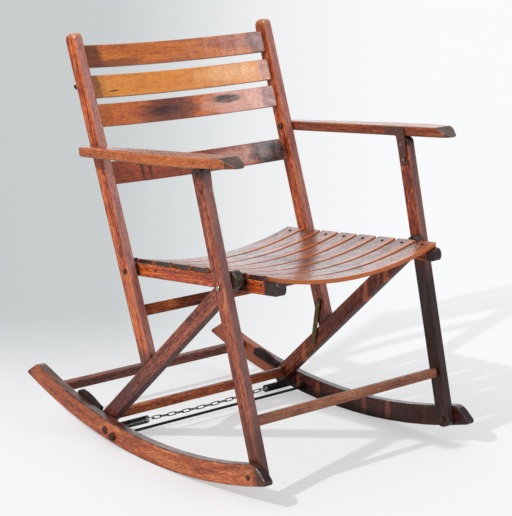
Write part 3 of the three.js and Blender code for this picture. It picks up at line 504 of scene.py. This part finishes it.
for k in SCREWED_SLATS:
    slat = NODES["seat_slat_%d" % k]
    middle = sum((slat.matrix_world @ Vector(c)).y for c in slat.bound_box) / 8
    for sign in (-1, 1):
        start = Vector((sign * SLAT_SCREW_AT, middle, ABOVE_SLATS))
        screw_head(slat.name, start, -Z, "seat", SLAT_HEAD, BLACK)
for side, sign in (("right", -1), ("left", 1)):
    leg = "front_leg_" + side
    for place in LEG_SCREWS:
        screw_head(leg, at(sign * BEYOND_SIDES, *place) + BESIDE_HOLE, -sign * X, "base", PLUG,
                   NODES[leg].data.materials[0], PLUG_RISE, BESIDE_HOLE)
for place in RAIL_SCREWS:
    screw_head("seat_rail_right", at(-BEYOND_SIDES, *place), X, "seat", RAIL_HEAD)
    screw_head("seat_rail_left", at(BEYOND_SIDES, *place), -X, "seat", RAIL_HEAD)

# stage
FLOOR_HALF = 30.0
KEY_PLACE, KEY_AIM = at(-2827, 300, 2636), at(0, 0, 350)
KEY_SIZE, KEY_POWER = 0.09, 72
FILL_WAY, FILL_STRENGTH, FILL_ANGLE = Vector((0.30, -0.89, 0.42)).normalized(), 0.55, math.radians(22)
CAMERA = Vector((-2.2298, -2.6331, 1.1641))
AZIMUTH, ELEVATION = math.radians(-40.791), math.radians(12.928)
LENS, SENSOR, CAMERA_REACH = 119.58, 36.0, 200.0
SIGHT, BESIDE = Vector((0.6533, 0.7571, 0)), Vector((0.7571, -0.6533, 0))  # level, from the camera's place
PAPER_WHITE, PAPER_GREY, PAPER_SHADE = "FFFFFF", "CCD0D0", (0.56, 0.56, 0.57, 1)
PAPER_GLOW, LAMP_SHARE = 0.60, 10.8
GREY_TURN, GREY_REACH = (-0.17, 0.11), (3.45, 4.5)
GREY_STOPS = ((0.0, 1.0), (0.22, 0.95), (0.40, 0.68), (0.66, 0.28), (1.0, 0.0))


def floor():
    mesh = bpy.data.meshes.new("floor")
    corners = [(x * FLOOR_HALF, y * FLOOR_HALF, 0) for x, y in ((-1, -1), (1, -1), (1, 1), (-1, 1))]
    mesh.from_pydata(corners, [], [(0, 1, 2, 3)])
    g = Graph("floor_paper")
    # painted paper: grey to the far left of the camera's place, white to the right and in front
    far = g.add(g.dot(SIGHT), -CAMERA.dot(SIGHT))
    across = g.add(g.dot(BESIDE), -CAMERA.dot(BESIDE))
    turn = g.remap(g.math("DIVIDE", across, far), *GREY_TURN)
    grey = g.times(g.ramp(turn, *GREY_STOPS), g.remap(far, *GREY_REACH))
    paint = g.mix(grey, rgb(PAPER_WHITE), rgb(PAPER_GREY))
    # the paper is toned so that the lamp's fall-off doesn't show on it
    ray = g.vector("DISTANCE", g.position, KEY_PLACE)["Value"]
    lamp = g.times(g.math("POWER", ray, -3.0), LAMP_SHARE)
    seen = g.node("ShaderNodeLightPath").outputs["Is Camera Ray"]
    glow = g.times(seen, g.math("SUBTRACT", PAPER_GLOW, lamp, clamp=True))
    g.feed(Base_Color=g.mix(1.0, paint, PAPER_SHADE, "MULTIPLY"), Roughness=0.9, Specular_IOR_Level=0.0,
           Emission_Color=paint, Emission_Strength=glow)
    mesh.materials.append(g.mat)
    placed("floor", mesh)


camera_data = bpy.data.cameras.new("camera")
camera_data.sensor_width = SENSOR
camera_data.sensor_fit = "HORIZONTAL"
camera_data.lens = LENS
camera_data.clip_end = CAMERA_REACH
camera = placed("camera", camera_data)
camera.location = CAMERA
level = math.cos(ELEVATION)
face(camera, Vector((math.sin(AZIMUTH) * level, -math.cos(AZIMUTH) * level, math.sin(ELEVATION))))
SCENE.camera = camera

key_data = bpy.data.lights.new("key", "AREA")
key_data.shape = "DISK"
key_data.size = KEY_SIZE
key_data.energy = KEY_POWER
key = placed("key", key_data)
key.location = KEY_PLACE
face(key, KEY_PLACE - KEY_AIM)

fill_data = bpy.data.lights.new("fill", "SUN")
fill_data.energy = FILL_STRENGTH
fill_data.angle = FILL_ANGLE
face(placed("fill", fill_data), FILL_WAY)
floor()

# world: an even light, and for gloss a white sheet behind the chair with duller walls elsewhere
EVEN_LIGHT, WORLD_TINT = 0.58, (0.96, 0.98, 1, 1)
SHEET_WAY = Vector((0.61, 0.74, 0.28)).normalized()
SHEET = {"From Min": 0.78, "From Max": 0.95, "To Min": 0.36, "To Max": 1.28}
world = bpy.data.worlds.new("studio")
SCENE.world = world
world.use_nodes = True
tree = world.node_tree
background = tree.nodes["Background"]
background.inputs[0].default_value = WORLD_TINT
rays, way, towards, sheet, strength = (tree.nodes.new("ShaderNode" + kind) for kind in (
    "LightPath", "TexCoord", "VectorMath", "MapRange", "Mix"))
towards.operation = "DOT_PRODUCT"
towards.inputs[1].default_value = SHEET_WAY
for socket, value in SHEET.items():
    sheet.inputs[socket].default_value = value
strength.inputs[2].default_value = EVEN_LIGHT
for source, target in (
    (way.outputs["Generated"], towards.inputs[0]), (towards.outputs["Value"], sheet.inputs["Value"]),
    (rays.outputs["Is Glossy Ray"], strength.inputs[0]), (sheet.outputs["Result"], strength.inputs[3]),
    (strength.outputs[0], background.inputs[1]),
):
    tree.links.new(source, target)

SCENE.view_settings.view_transform = "Standard"
